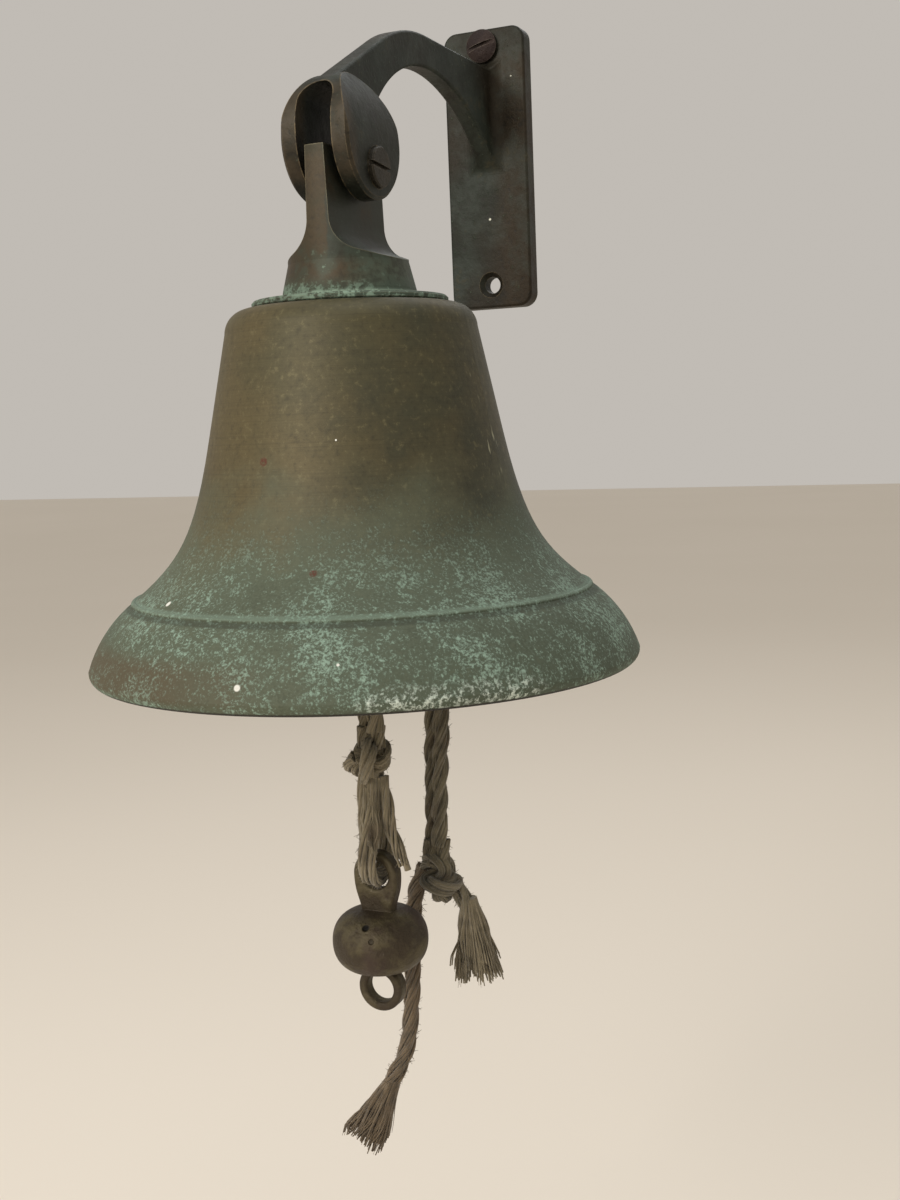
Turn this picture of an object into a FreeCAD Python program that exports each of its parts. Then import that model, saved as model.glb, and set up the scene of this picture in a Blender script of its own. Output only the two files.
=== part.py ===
import FreeCAD, Part
import os
from math import atan2, cos, pi, radians, sin, sqrt, tan

V = FreeCAD.Vector

# A bulkhead ship bell, in millimetres.
# The origin is the centre of the wall plate's back face: +Z is up, +Y points into the wall,
# and the bell hangs in front of the plate, towards -Y.

# ---- wall bracket: plate, arched arm and forked nose, one casting ----
plate_width = 28.5
plate_height = 90.0
plate_thickness = 6.0
plate_corner_radius = 4.5
plate_edge_round = 0.9
bell_reach = 107.0              # wall to the bell's axis
pivot_drop = 14.5               # plate centre down to the hinge pin
arm_thickness = 6.0
arm_top_drop = 13.5             # plate's top edge down to the arm's flat top
arm_crest_depth = 9.4           # thickness of the arch at its crest
arm_crest_share = 0.514         # the arch crests at this share of the bell's reach
arm_top_bend_radius = 60.0
arm_slope = 28.0                # degrees, the arm's fall towards the fork
arch_wall_drop = 3.9            # plate centre down to the arch's end in the plate
arch_fork_rise = 11.84          # hinge pin up to the arch's end in the fork
arch_fork_inset = 10.0          # the arch runs into the fork this far short of the pin
arm_edge_round = 0.9
arm_root_fillet = 4.0
ear_radius = 15.4
ear_rise = 7.0                  # hinge pin up to the centre of the ear's round foot
ear_stretch = 2.6               # straight flank between the ear's foot and its head
ear_offset = 0.7                # the ears stand this far in front of the pin
ear_thickness = 4.9
ear_gap = 10.4                  # slot between the two ears
ear_taper_start = 7.0           # hinge pin up to where the ears begin to close in
ear_taper_middle = 17.0
ear_taper_middle_width = 15.8
ear_head_height = 25.5          # hinge pin up to where the ears meet the arm
ear_edge_round = 0.8
slot_spring = 16.5              # hinge pin up to the spring of the slot's round roof
slot_length_back = 17.0         # hinge pin back to the slot's end

# ---- screws ----
wood_screw_head_diameter = 10.5
wood_screw_shank_diameter = 5.2
wood_screw_core_diameter = 3.8
wood_screw_length = 32.0        # below the plate's front face
wood_screw_point = 7.0
wood_screw_thread_start = 12.0
wood_screw_pitch = 2.2
wood_screw_ridge = 1.6          # a thread ridge's width at its foot
wood_screw_ridge_sink = 0.3     # its foot lies this far inside the core
wood_screw_runout = 1.0         # shank to core, and core to the first ridge
screw_dish_diameter = 8.4
screw_hole_diameter = 5.5
screw_head_dome = 1.5
screw_head_rim = 0.5
screw_slot_width = 1.2
screw_slot_depth = 1.3
screw_slot_turn = 14.0          # degrees
top_hole_inset = 5.6            # plate's top edge down to the hole
bottom_hole_inset = 7.6
pin_diameter = 5.0
pin_head_diameter = 10.8
pin_head_height = 1.9
pin_head_edge = 0.4
pin_head_recess = 0.4           # spot face in the near ear
pin_slot_turn = 5.5             # degrees
pin_running_gap = 0.05
pin_pass_gap = 0.1

# ---- bell, heights measured up from the lip ----
mouth_diameter = 152.0
lip_widest_height = 3.2
mouth_plane_height = 2.2        # the plane that the ropes and the clapper are measured from
lip_bottom_radius = 73.6
lip_inner_radius = 70.6
lip_inner_height = 0.5
lip_corner_draw = 0.7           # the rounded rim's middle lies this far inside the widest radius
bow_middle_radius = 71.5
bow_middle_height = 12.2
bead_height = 20.9
bead_radius = 63.0              # the bell's outside at the bead
bead_width = 1.5
bead_stand = 0.55
flare_top_radius = 40.15
flare_top_height = 64.2
flare_top_pull = 27.5
flare_foot_pull = 15.6
flare_foot_slope = 51.0         # degrees from upright, just above the bead
crown_height = 98.3             # lip to the flat of the crown
crown_flat_radius = 27.8
shoulder_radius = 6.5
shoulder_body_radius = 34.45
wall_waist = 3.2
wall_crown = 4.5
inner_crown_corner = 4.8        # radius
inner_foot_pull = 26.0
inner_top_pull = 24.0
inner_foot_slope = 47.0

# ---- crown hanger: tang, boss, flange and threaded socket ----
pin_height = 134.2              # lip to the hinge pin
flange_diameter = 53.5
flange_thickness = 2.0
flange_edge_break = 0.6
boss_foot_radius = 18.2
boss_foot_fillet = 2.0
boss_height = 11.4              # crown to the boss's upper corner
tang_turned_radius = 16.4       # the tang's front and back are turned to this radius
tang_top_thickness = 5.5
tang_foot_thickness = 6.9
tang_above_pin = 4.8
tang_mill_radius = 9.0          # run-out of the milled flats
tang_runout_height = 15.7       # crown to where the flats would meet the boss's slope
boss_top_slope = 18.0           # degrees
stud_diameter = 10.0
stud_depth = 11.0               # thread engagement in the hanger

# ---- inside the crown ----
washer_diameter = 26.0
washer_thickness = 2.0
nut_across_flats = 17.0
nut_thickness = 5.0
nut_corner_cut = 1.0            # taken off its corners at the lower face
staple_rod_diameter = 6.0
staple_half_width = 29.5
staple_window = 11.8            # height between the two bars' centres
staple_corner_radius = 4.2
staple_turn = 18.0              # degrees, where its thread tightened
staple_collar_diameter = 13.0
staple_collar_height = 3.0
staple_collar_sink = 1.5        # the collar runs this far into the upper bar

# ---- cord ----
cord_diameter = 4.8
fall_diameter = 7.6             # two parts of cord laid together
soft_gap = 0.3
hitch_width = 5.2               # one turn of cord over the bar
clapper_knot_diameter = 12.4
clapper_knot_height = 14.4
clapper_knot_drop = 21.7        # mouth plane down to the knot's top
lanyard_knot_diameter = 13.4
lanyard_knot_height = 15.6
clapper_knot_end = 10.4
lanyard_knot_end = 11.0
lanyard_knot_shift = 0.5        # to the right of and behind the rope above it
loop_slack = 1.3                # the clapper's loop lies this far off the eye's faces
loop_neck = 4.0                 # knot down to where the loop's legs part
loop_open = 6.4                 # hinge up to where the legs have parted
end_tassel_diameter = 12.4
end_tassel_length = 18.0
tail_tassel_diameter = 16.0
tail_tassel_length = 19.0
tail_diameter = 4.0
lanyard_hitch_offset = 22.6     # along the staple's bar from the bell's axis

# ---- clapper, heights measured down from the mouth's widest plane ----
clapper_top_drop = 56.5
clapper_ball_diameter = 27.6
clapper_ball_height = 17.8
clapper_ball_drop = 82.6
clapper_rim_share = 0.62         # fullness of the ball's rim: 0.55 is an ellipse, 1 a drum
clapper_face_share = 0.66        # fullness of its upper and lower faces
clapper_eye_width = 13.6
clapper_eye_hole = 8.4
clapper_eye_thickness = 4.6
clapper_eye_round = 1.0
clapper_lower_eye_drop = 97.0
clapper_neck_width = 9.4
clapper_cap_radius = 3.8
clapper_stem_depth = 2.0        # the upper eye's stem is sunk this far into the ball
clapper_throat_height = 5.0

# ---- worked out from the sizes above ----
arm_top_height = plate_height / 2 - arm_top_drop
axis = V(0, -bell_reach, 0)
lip_z = -pivot_drop - pin_height
mouth_z = lip_z + mouth_plane_height
crown_z = lip_z + crown_height
pin = V(0, -bell_reach, -pivot_drop)
fork_half_width = ear_gap / 2 + ear_thickness
plate_front = -plate_thickness
staple_top_z = crown_z - wall_crown - washer_thickness - nut_thickness
staple_bar_z = staple_top_z - staple_collar_height - staple_window
bar_direction = V(sin(radians(staple_turn)), cos(radians(staple_turn)), 0)
hitch_radius = staple_rod_diameter / 2 + soft_gap + cord_diameter
fall_top_z = staple_bar_z - hitch_radius - soft_gap - fall_diameter / 2
knot_top = V(0, -bell_reach, mouth_z - clapper_knot_drop)


def fuse(shapes):
    """Join solids into one clean solid."""
    whole = shapes[0].multiFuse(shapes[1:])
    return whole.removeSplitter()


def cylinder(radius, start, end):
    """A round bar from start to end."""
    return Part.makeCylinder(radius, (end - start).Length, start, end - start)


def cone(radius_start, radius_end, start, end):
    return Part.makeCone(radius_start, radius_end, (end - start).Length, start, end - start)


def prism(edges, depth):
    """Extrude a closed outline of edges by the vector depth."""
    return Part.Face(Part.Wire(Part.__sortEdges__(edges))).extrude(depth)


def turned(edges, centre, direction=V(0, 0, 1)):
    """Turn a closed outline about an axis."""
    return Part.Face(Part.Wire(Part.__sortEdges__(edges))).revolve(centre, direction, 360)


def line(a, b):
    return Part.makeLine(a, b)


def arc(a, middle, b):
    return Part.Arc(a, middle, b).toShape()


def polygon(points):
    """The edges of a closed polygon."""
    return [line(a, b) for a, b in zip(points, points[1:] + points[:1])]


def curve(poles):
    """A Bezier edge."""
    bezier = Part.BezierCurve()
    bezier.setPoles(poles)
    return bezier.toShape()


def sweep(points, radius):
    """A tube along straight runs joined by tangent arcs, with its centreline and its bend radii."""
    bend_share = 0.45           # each arc takes this share of its shorter run
    edges = []
    radii = []
    place = points[0]
    for before_point, point, after_point in zip(points, points[1:], points[2:]):
        before = before_point - point
        after = after_point - point
        turn = pi - before.getAngle(after)
        reach = bend_share * min(before.Length, after.Length)
        bend = reach / tan(turn / 2)
        start = point + before.normalize() * reach
        end = point + after.normalize() * reach
        inward = (before + after).normalize()
        middle = point + inward * (bend / cos(turn / 2) - bend)
        edges.append(line(place, start))
        edges.append(arc(start, middle, end))
        place = end
        radii.append(bend)
    edges.append(line(place, points[-1]))
    path = Part.Wire(edges)
    direction = points[1] - points[0]
    ring = Part.Wire(Part.makeCircle(radius, points[0], direction))
    tube = path.makePipeShell([ring], True, False)
    return tube, path, radii


def report_cord(name, tube, path, radius, radii):
    """Print a cord's length, its bend radii and how its volume compares with section times length."""
    ideal = pi * radius * radius * path.Length
    bends = ", ".join("%.1f" % bend for bend in radii)
    ratio = tube.Volume / ideal
    print("%s: length %.1f mm, bends %s mm, volume ratio %.4f" % (name, path.Length, bends, ratio))


# ---------------------------------------------------------------- wall bracket


def yz(y, z):
    """A point in the arm's middle plane, y measured forward from the wall."""
    return V(0, -y, z)


def bracket_arm():
    """The arched web, cut to its side outline."""
    slope = radians(arm_slope)
    under_z = arm_top_height - arm_crest_depth
    head = yz(bell_reach + ear_offset, ear_rise + ear_stretch - pivot_drop)
    nose = head + V(0, -sin(slope), cos(slope)) * ear_radius
    bend_drop = arm_top_bend_radius * (1 - cos(slope))
    slope_run = (arm_top_height - bend_drop - nose.z) / tan(slope)
    bend_start = nose + V(0, slope_run, slope_run * tan(slope))
    bend_centre = bend_start - V(0, -sin(slope), cos(slope)) * arm_top_bend_radius
    bend_middle = bend_centre + V(0, -sin(slope / 2), cos(slope / 2)) * arm_top_bend_radius
    bend_end = bend_centre + V(0, 0, arm_top_bend_radius)
    root_y = plate_thickness / 2
    crest_reach = arm_crest_share * bell_reach
    crest = yz(crest_reach, under_z)
    wall_run = crest_reach - root_y
    wall_angle = 2 * atan2(under_z + arch_wall_drop, wall_run)
    wall_radius = wall_run / sin(wall_angle)
    wall_centre = crest - V(0, 0, wall_radius)

    def on_wall_arch(angle):
        return wall_centre + V(0, sin(angle), cos(angle)) * wall_radius

    fork_run = bell_reach - arch_fork_inset - crest_reach
    fork_angle = 2 * atan2(under_z - pin.z - arch_fork_rise, fork_run)
    fork_radius = fork_run / sin(fork_angle)
    fork_centre = crest - V(0, 0, fork_radius)

    def on_fork_arch(angle):
        return fork_centre + V(0, -sin(angle), cos(angle)) * fork_radius

    edges = [
        line(nose, bend_start),
        arc(bend_start, bend_middle, bend_end),
        line(bend_end, yz(root_y, arm_top_height)),
        line(yz(root_y, arm_top_height), on_wall_arch(wall_angle)),
        arc(on_wall_arch(wall_angle), on_wall_arch(wall_angle / 2), crest),
        arc(crest, on_fork_arch(fork_angle / 2), on_fork_arch(fork_angle)),
        line(on_fork_arch(fork_angle), nose),
    ]
    return prism([edge.translated(V(-arm_thickness / 2, 0, 0)) for edge in edges], V(arm_thickness, 0, 0))


def ear_outline(x, inset):
    """The ears' side outline at x, drawn in by inset."""
    radius = ear_radius - inset
    foot = V(x, pin.y - ear_offset, pin.z + ear_rise)
    head = foot + V(0, 0, ear_stretch)
    back = V(0, radius, 0)
    down = V(0, 0, -radius)
    edges = [
        arc(foot - back, foot + down, foot + back),
        line(foot + back, head + back),
        arc(head + back, head - down, head - back),
        line(head - back, foot - back),
    ]
    return Part.Wire(edges)


def bracket_fork():
    """The two ears and the head that joins them, before the slot is cut."""
    wide = fork_half_width
    inner = wide - ear_edge_round
    slab = Part.Face(ear_outline(-inner, 0)).extrude(V(2 * inner, 0, 0))
    rims = [
        Part.makeLoft([ear_outline(side * inner, 0), ear_outline(side * wide, ear_edge_round)], True, True)
        for side in (-1, 1)
    ]
    base_z = pin.z + ear_rise - ear_radius - 1
    taper_z = pin.z + ear_taper_start
    middle_z = pin.z + ear_taper_middle
    head_z = pin.z + ear_head_height
    front_y = pin.y - ear_offset - ear_radius - 1

    def xz(x, z):
        return V(x, front_y, z)

    middle = ear_taper_middle_width / 2
    narrow = arm_thickness / 2
    front = [
        line(xz(-wide, base_z), xz(wide, base_z)),
        line(xz(wide, base_z), xz(wide, taper_z)),
        arc(xz(wide, taper_z), xz(middle, middle_z), xz(narrow, head_z)),
        line(xz(narrow, head_z), xz(-narrow, head_z)),
        arc(xz(-narrow, head_z), xz(-middle, middle_z), xz(-wide, taper_z)),
        line(xz(-wide, taper_z), xz(-wide, base_z)),
    ]
    return fuse([slab] + rims).common(prism(front, V(0, 2 * ear_radius + 2, 0)))


def fork_slot():
    """The slot that the tang swings in, with its round roof."""
    half = ear_gap / 2
    bottom_z = pin.z + ear_rise - ear_radius - 2
    spring_z = pin.z + slot_spring
    front_y = pin.y - ear_offset - ear_radius - 2

    def xz(x, z):
        return V(x, front_y, z)

    outline = [
        line(xz(-half, bottom_z), xz(half, bottom_z)),
        line(xz(half, bottom_z), xz(half, spring_z)),
        arc(xz(half, spring_z), xz(0, spring_z + half), xz(-half, spring_z)),
        line(xz(-half, spring_z), xz(-half, bottom_z)),
    ]
    return prism(outline, V(0, pin.y + slot_length_back - front_y, 0))


def screw_hole(z):
    """A clearance hole through the plate with a shallow 45 degree dish."""
    front = V(0, plate_front, z)
    dish_depth = (screw_dish_diameter - screw_hole_diameter) / 2
    bore = cylinder(screw_hole_diameter / 2, V(0, 1, z), V(0, plate_front - 1, z))
    dish = cone(screw_dish_diameter / 2, screw_hole_diameter / 2, front, front + V(0, dish_depth, 0))
    return bore.fuse(dish)


def top_hole_z():
    return plate_height / 2 - top_hole_inset


def bottom_hole_z():
    return -plate_height / 2 + bottom_hole_inset


def wall_plate():
    plate = Part.makeBox(
        plate_width, plate_thickness, plate_height, V(-plate_width / 2, -plate_thickness, -plate_height / 2)
    )
    upright = [edge for edge in plate.Edges if abs(edge.tangentAt(0).y) > 0.9]
    plate = plate.makeFillet(plate_corner_radius, upright)
    front = [edge for edge in plate.Edges if abs(edge.CenterOfMass.y - plate_front) < 1e-6]
    return plate.makeFillet(plate_edge_round, front)


def wall_bracket():
    """The casting that screws to the wall and carries the bell in its fork."""
    casting = fuse([wall_plate(), bracket_arm()])
    root_edges = [
        edge
        for edge in casting.Edges
        if abs(edge.CenterOfMass.y - plate_front) < 0.05
        and abs(edge.CenterOfMass.x) < arm_thickness / 2 + 0.1
        and abs(edge.CenterOfMass.z) < arm_top_height + 1
        and edge.BoundBox.YLength < 0.05
    ]
    casting = casting.makeFillet(arm_root_fillet, root_edges)
    long_edges = [
        edge
        for edge in casting.Edges
        if abs(abs(edge.CenterOfMass.x) - arm_thickness / 2) < 0.02
        and edge.BoundBox.XLength < 1e-4
        and edge.BoundBox.YMin < plate_front - arm_root_fillet
    ]
    casting = casting.makeFillet(arm_edge_round, long_edges)
    casting = fuse([casting, bracket_fork()])
    threaded = cylinder(pin_diameter / 2, V(-fork_half_width - 1, pin.y, pin.z), pin)
    passing = cylinder(pin_diameter / 2 + pin_pass_gap, pin, V(fork_half_width + 1, pin.y, pin.z))
    seat = V(fork_half_width - pin_head_recess, pin.y, pin.z)
    spot_face = cylinder(pin_head_diameter / 2 + pin_pass_gap, seat, seat + V(pin_head_recess + 1, 0, 0))
    holes = [screw_hole(top_hole_z()), screw_hole(bottom_hole_z()), threaded, passing, spot_face]
    return casting.cut([fork_slot()] + holes).removeSplitter()


def screw_slot(face, outward, across, length, width, depth):
    """The cutter for a straight driver slot across a head whose crown is at face."""
    side = outward.cross(across)
    corner = face - across * (length / 2) - side * (width / 2) - outward * depth
    outline = polygon([
        corner,
        corner + across * length,
        corner + across * length + side * width,
        corner + side * width,
    ])
    return prism(outline, outward * (depth + 5))


def wall_screw():
    """The slotted raised-head wood screw in the plate's upper hole, with its tapered threaded point."""
    z = top_hole_z()
    head_radius = wood_screw_head_diameter / 2
    shank_radius = wood_screw_shank_diameter / 2
    core_radius = wood_screw_core_diameter / 2
    dish_radius = screw_dish_diameter / 2
    proud = head_radius - dish_radius
    rim_y = plate_front - proud
    dome_y = rim_y - screw_head_rim - screw_head_dome
    neck_y = plate_front + dish_radius - shank_radius
    thread_y = plate_front + wood_screw_thread_start
    core_y = thread_y + wood_screw_runout
    tip_y = plate_front + wood_screw_length

    def ry(radius, y):
        return V(radius, y, z)

    crown = ry(0, dome_y)
    rim = ry(head_radius, rim_y - screw_head_rim)
    half = head_radius / 2
    sphere = (head_radius ** 2 + screw_head_dome ** 2) / (2 * screw_head_dome)
    shoulder = ry(half, dome_y + sphere - sqrt(sphere ** 2 - half ** 2))
    edges = [
        arc(crown, shoulder, rim),
        line(rim, ry(head_radius, rim_y)),
        line(ry(head_radius, rim_y), ry(shank_radius, neck_y)),
        line(ry(shank_radius, neck_y), ry(shank_radius, thread_y)),
        line(ry(shank_radius, thread_y), ry(core_radius, core_y)),
        line(ry(core_radius, core_y), ry(core_radius, tip_y - wood_screw_point)),
        line(ry(core_radius, tip_y - wood_screw_point), ry(0, tip_y)),
        line(ry(0, tip_y), crown),
    ]
    body = turned(edges, V(0, 0, z), V(0, 1, 0))
    ridges = []
    ridge_foot = core_radius - wood_screw_ridge_sink
    half_ridge = wood_screw_ridge / 2
    place = core_y + wood_screw_runout
    while place < tip_y - wood_screw_point:
        start = ry(ridge_foot, place - half_ridge)
        end = ry(ridge_foot, place + half_ridge)
        ridges.append(turned(polygon([start, ry(shank_radius, place), end]), V(0, 0, z), V(0, 1, 0)))
        place += wood_screw_pitch
    turn = radians(screw_slot_turn)
    across = V(cos(turn), 0, sin(turn))
    slot = screw_slot(crown, V(0, -1, 0), across, 2 * head_radius, screw_slot_width, screw_slot_depth)
    return fuse([body] + ridges).cut(slot)


def pivot_screw():
    """The slotted cheese-head screw that is the hinge pin, threaded into the far ear."""
    seat = V(fork_half_width - pin_head_recess, pin.y, pin.z)
    end = V(-fork_half_width, pin.y, pin.z)
    face = seat + V(pin_head_height, 0, 0)
    edge_start = face - V(pin_head_edge, 0, 0)
    shank = cylinder(pin_diameter / 2, end, seat)
    head = cylinder(pin_head_diameter / 2, seat, edge_start)
    bevel = cone(pin_head_diameter / 2, pin_head_diameter / 2 - pin_head_edge, edge_start, face)
    turn = radians(pin_slot_turn)
    across = V(0, cos(turn), -sin(turn))
    slot = screw_slot(face, V(1, 0, 0), across, pin_head_diameter + 1, screw_slot_width, screw_slot_depth)
    return fuse([shank, head, bevel]).cut(slot)


# ---------------------------------------------------------------- bell


def rh(radius, height):
    """A point on the bell's turned outline: radius from the axis, height above the lip."""
    return V(radius, -bell_reach, lip_z + height)


def bell_shell():
    """The cast and turned bell with a hole in its crown for the hanger's stud."""
    widest = mouth_diameter / 2
    foot = radians(flare_foot_slope)
    down_flare = V(sin(foot), 0, -cos(foot))
    bead_centre = rh(bead_radius, bead_height)
    bead_top = bead_centre - down_flare * (bead_width / 2)
    bead_foot = bead_centre + down_flare * (bead_width / 2)
    bead_nose = bead_centre + V(cos(foot), 0, sin(foot)) * bead_stand
    cone_start = rh(shoulder_body_radius, crown_height - shoulder_radius)
    flare_top = rh(flare_top_radius, flare_top_height)
    down_cone = (flare_top - cone_start).normalize()
    foot_pole = bead_top - down_flare * flare_foot_pull
    diagonal = sin(pi / 4)
    shoulder_middle = rh(
        crown_flat_radius + shoulder_radius * diagonal, crown_height - shoulder_radius * (1 - diagonal)
    )
    crown_edge = rh(crown_flat_radius, crown_height)
    bow_middle = rh(bow_middle_radius, bow_middle_height)
    widest_point = rh(widest, lip_widest_height)
    lip_bottom = rh(lip_bottom_radius, 0)
    lip_corner = rh(widest - lip_corner_draw, lip_widest_height / 3)
    inner_lip = rh(lip_inner_radius, lip_inner_height)
    inner_top = rh(flare_top_radius - wall_waist, flare_top_height)
    inner_slope = radians(inner_foot_slope)
    inner_foot_pole = inner_lip + V(-sin(inner_slope), 0, cos(inner_slope)) * inner_foot_pull
    inner_top_pole = inner_top + down_cone * inner_top_pull
    inner_crown_z = crown_height - wall_crown
    corner_height = inner_crown_z - inner_crown_corner
    cone_length = crown_height - shoulder_radius - flare_top_height
    cone_run = (flare_top_radius - shoulder_body_radius) / cone_length
    inner_side = flare_top_radius - wall_waist - cone_run * (corner_height - flare_top_height)
    corner_draw = inner_crown_corner * (1 - diagonal)
    corner_start = rh(inner_side, corner_height)
    corner_middle = rh(inner_side - corner_draw, inner_crown_z - corner_draw)
    corner_end = rh(inner_side - inner_crown_corner, inner_crown_z)
    inner_edges = [
        curve([inner_lip, inner_foot_pole, inner_top_pole, inner_top]),
        line(inner_top, corner_start),
        arc(corner_start, corner_middle, corner_end),
        line(corner_end, rh(stud_diameter / 2, inner_crown_z)),
    ]
    outer_edges = [
        line(rh(stud_diameter / 2, inner_crown_z), rh(stud_diameter / 2, crown_height)),
        line(rh(stud_diameter / 2, crown_height), crown_edge),
        arc(crown_edge, shoulder_middle, cone_start),
        line(cone_start, flare_top),
        curve([flare_top, flare_top + down_cone * flare_top_pull, foot_pole, bead_top]),
        arc(bead_top, bead_nose, bead_foot),
        arc(bead_foot, bow_middle, widest_point),
        arc(widest_point, lip_corner, lip_bottom),
        line(lip_bottom, inner_lip),
    ]
    return turned(outer_edges + inner_edges, axis)


def crown_hanger():
    """The turned and milled hanger: tang, boss and flange in one piece, with a threaded socket below."""
    top = pin_height + tang_above_pin
    boss_top = crown_height + boss_height
    foot = crown_height + flange_thickness
    boss_low = foot + boss_foot_fillet
    fillet_draw = boss_foot_fillet * (1 - sin(pi / 4))
    fillet_middle = rh(boss_foot_radius + fillet_draw, foot + fillet_draw)
    flange = flange_diameter / 2
    outline = [
        line(rh(0, crown_height), rh(flange - flange_edge_break, crown_height)),
        line(rh(flange - flange_edge_break, crown_height), rh(flange, crown_height + flange_edge_break)),
        line(rh(flange, crown_height + flange_edge_break), rh(flange, foot - flange_edge_break)),
        line(rh(flange, foot - flange_edge_break), rh(flange - flange_edge_break, foot)),
        line(rh(flange - flange_edge_break, foot), rh(boss_foot_radius + boss_foot_fillet, foot)),
        arc(rh(boss_foot_radius + boss_foot_fillet, foot), fillet_middle, rh(boss_foot_radius, boss_low)),
        line(rh(boss_foot_radius, boss_low), rh(tang_turned_radius, boss_top)),
        line(rh(tang_turned_radius, boss_top), rh(tang_turned_radius, top)),
        line(rh(tang_turned_radius, top), rh(0, top)),
        line(rh(0, top), rh(0, crown_height)),
    ]
    blank = turned(outline, axis)
    slope = radians(boss_top_slope)
    corner_x = tang_foot_thickness / 2
    corner_height = crown_height + tang_runout_height
    reach = flange + 1
    lean = atan2(corner_x - tang_top_thickness / 2, top - corner_height)
    turn = pi / 2 - slope - lean
    cut_back = tang_mill_radius * tan(turn / 2)
    y_start = -bell_reach - reach

    def side_outline(side):
        def xz(x, height):
            return V(side * x, y_start, lip_z + height)

        down = V(side * sin(lean), 0, -cos(lean))
        out = V(side * cos(slope), 0, -sin(slope))
        corner_point = xz(corner_x, corner_height)
        arc_start = corner_point - down * cut_back
        arc_end = corner_point + out * cut_back
        towards_centre = (out - down).normalize()
        arc_middle = corner_point + towards_centre * (tang_mill_radius / cos(turn / 2) - tang_mill_radius)
        far = xz(reach, corner_height - (reach - corner_x) * tan(slope))
        above = xz(reach, top + 1)
        top_point = xz(tang_top_thickness / 2 - tan(lean), top + 1)
        return [
            line(top_point, arc_start),
            arc(arc_start, arc_middle, arc_end),
            line(arc_end, far),
            line(far, above),
            line(above, top_point),
        ]

    flats = [prism(side_outline(side), V(0, 2 * reach, 0)) for side in (-1, 1)]
    socket = cylinder(stud_diameter / 2, rh(0, crown_height - 1), rh(0, crown_height + stud_depth))
    hole_radius = pin_diameter / 2 + pin_running_gap
    hole = cylinder(hole_radius, pin - V(reach, 0, 0), pin + V(reach, 0, 0))
    return blank.cut(flats + [socket, hole]).removeSplitter()


def crown_washer():
    top = V(0, -bell_reach, crown_z - wall_crown)
    bottom = top - V(0, 0, washer_thickness)
    return cylinder(washer_diameter / 2, bottom, top).cut(cylinder(stud_diameter / 2, bottom, top))


def crown_nut():
    """The hexagonal nut that clamps the crown between the washer and the hanger."""
    top = V(0, -bell_reach, crown_z - wall_crown - washer_thickness)
    bottom = top - V(0, 0, nut_thickness)
    corner = nut_across_flats / 2 / cos(pi / 6)
    points = [bottom + V(corner * cos(pi * i / 3), corner * sin(pi * i / 3), 0) for i in range(6)]
    block = prism(polygon(points), V(0, 0, nut_thickness))
    blank = cone(corner, corner - nut_corner_cut, top, bottom)
    return block.common(blank).cut(cylinder(stud_diameter / 2, bottom, top))


def staple_point(along, z):
    """A point in the staple's own plane, along its bar from the bell's axis."""
    return V(bar_direction.x * along, -bell_reach + bar_direction.y * along, z)


def clapper_staple():
    """The forged stirrup inside the bell: a threaded stud, a collar and a closed window."""
    radius = staple_rod_diameter / 2
    bend = staple_corner_radius
    half = staple_half_width
    low = staple_bar_z
    high = staple_bar_z + staple_window
    pieces = []
    for z in (low, high):
        pieces.append(cylinder(radius, staple_point(-half + bend, z), staple_point(half - bend, z)))
    quarter_profile = V(-bar_direction.y, bar_direction.x, 0)
    for side in (-1, 1):
        post_foot = staple_point(side * half, low + bend)
        pieces.append(cylinder(radius, post_foot, staple_point(side * half, high - bend)))
        for z, start in ((low, low + bend), (high, high - bend)):
            centre = staple_point(side * (half - bend), start)
            ring = Part.Wire(Part.makeCircle(radius, staple_point(side * (half - bend), z), bar_direction))
            angle = 90 if (side > 0) == (z == high) else -90
            pieces.append(Part.Face(ring).revolve(centre, quarter_profile, angle))
    collar_foot = staple_point(0, high - staple_collar_sink)
    pieces.append(cylinder(staple_collar_diameter / 2, collar_foot, staple_point(0, staple_top_z)))
    pieces.append(cylinder(stud_diameter / 2, collar_foot, rh(0, crown_height + stud_depth)))
    return fuse(pieces)


# ---------------------------------------------------------------- clapper line


def hitch(along):
    """The turns of cord round the staple's bar, as a plain sleeve."""
    start = staple_point(along - hitch_width / 2, staple_bar_z)
    end = staple_point(along + hitch_width / 2, staple_bar_z)
    inner = staple_rod_diameter / 2 + soft_gap
    return cylinder(hitch_radius, start, end).cut(cylinder(inner, start, end))


def knot(top, diameter, height, end_diameter):
    """A plain barrel for a knot hanging below top, flat where the cord enters and leaves."""
    end = end_diameter / 2

    def side(radius, drop):
        return top + V(radius, 0, -drop)

    edges = [
        line(side(0, 0), side(end, 0)),
        arc(side(end, 0), side(diameter / 2, height / 2), side(end, height)),
        line(side(end, height), side(0, height)),
        line(side(0, height), side(0, 0)),
    ]
    return turned(edges, top)


def round_topped(tube, top, radius):
    """Close a hanging cord's top with a round end, so that it can turn under its hitch."""
    return tube.fuse(Part.makeSphere(radius, top)).removeSplitter()


def below_mouth(x, back, drop):
    """A point of the ropes: x to the right, back from the bell's axis, drop below the mouth plane."""
    return V(x, -bell_reach + back, mouth_z - drop)


clapper_hinge = below_mouth(0, 0, clapper_top_drop + (clapper_eye_width - clapper_eye_hole) / 4)


def clapper_line_fall():
    """The clapper line's two parts, laid together, from the hitch down to the knot."""
    top = V(0, -bell_reach, fall_top_z)
    return round_topped(cylinder(fall_diameter / 2, knot_top, top), top, fall_diameter / 2)


def clapper_line_knot():
    return knot(knot_top, clapper_knot_diameter, clapper_knot_height, clapper_knot_end)


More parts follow.
